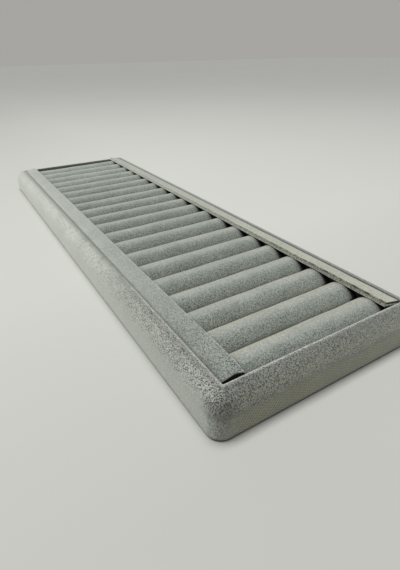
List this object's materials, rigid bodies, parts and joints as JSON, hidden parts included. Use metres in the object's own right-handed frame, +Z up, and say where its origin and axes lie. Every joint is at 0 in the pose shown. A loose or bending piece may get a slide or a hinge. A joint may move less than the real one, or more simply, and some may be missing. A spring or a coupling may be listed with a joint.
{
  "type": "ring display tray",
  "caption": "Long low velvet-covered tray with rounded outer edges, a row of padded cross rolls that hold finger rings on edge, and a raised strip along each long side",
  "frame": {"origin": "under the middle of the tray, on the surface it stands on", "axes": "+X along the tray, +Y across it to the back long side, +Z up"},
  "size_m": [0.35, 0.11, 0.0192],
  "materials": {
    "velvet": "short-pile grey-green velvet, matt with a soft sheen",
    "felt": "matt needled felt",
    "fibreboard": "raw fibreboard",
    "greyboard": "raw pressed grey board",
    "foam": "soft open foam"
  },
  "bodies": {
    "tray": {"front_rail": "fibreboard", "back_rail": "fibreboard", "left_rail": "fibreboard", "right_rail": "fibreboard", "base_board": "fibreboard", "tray_cover": "velvet", "underside_felt": "felt"},
    "insert": {"insert_card": "greyboard", "roll_core_01": "foam", "roll_core_02": "foam", "roll_core_03": "foam", "roll_core_04": "foam", "roll_core_05": "foam", "roll_core_06": "foam", "roll_core_07": "foam", "roll_core_08": "foam", "roll_core_09": "foam", "roll_core_10": "foam", "roll_core_11": "foam", "roll_core_12": "foam", "roll_core_13": "foam", "roll_core_14": "foam", "roll_core_15": "foam", "roll_core_16": "foam", "roll_core_17": "foam", "roll_core_18": "foam", "roll_core_19": "foam", "roll_core_20": "foam", "roll_cover_01": "velvet", "roll_cover_02": "velvet", "roll_cover_03": "velvet", "roll_cover_04": "velvet", "roll_cover_05": "velvet", "roll_cover_06": "velvet", "roll_cover_07": "velvet", "roll_cover_08": "velvet", "roll_cover_09": "velvet", "roll_cover_10": "velvet", "roll_cover_11": "velvet", "roll_cover_12": "velvet", "roll_cover_13": "velvet", "roll_cover_14": "velvet", "roll_cover_15": "velvet", "roll_cover_16": "velvet", "roll_cover_17": "velvet", "roll_cover_18": "velvet", "roll_cover_19": "velvet", "roll_cover_20": "velvet", "front_strip_board": "greyboard", "back_strip_board": "greyboard", "front_strip_cover": "velvet", "back_strip_cover": "velvet"}
  },
  "joints": [
    {"name": "insert_lift", "type": "slide", "parent": "tray", "child": "insert", "axis": [0, 0, 1], "range_m": [0, 0.03]}
  ]
}
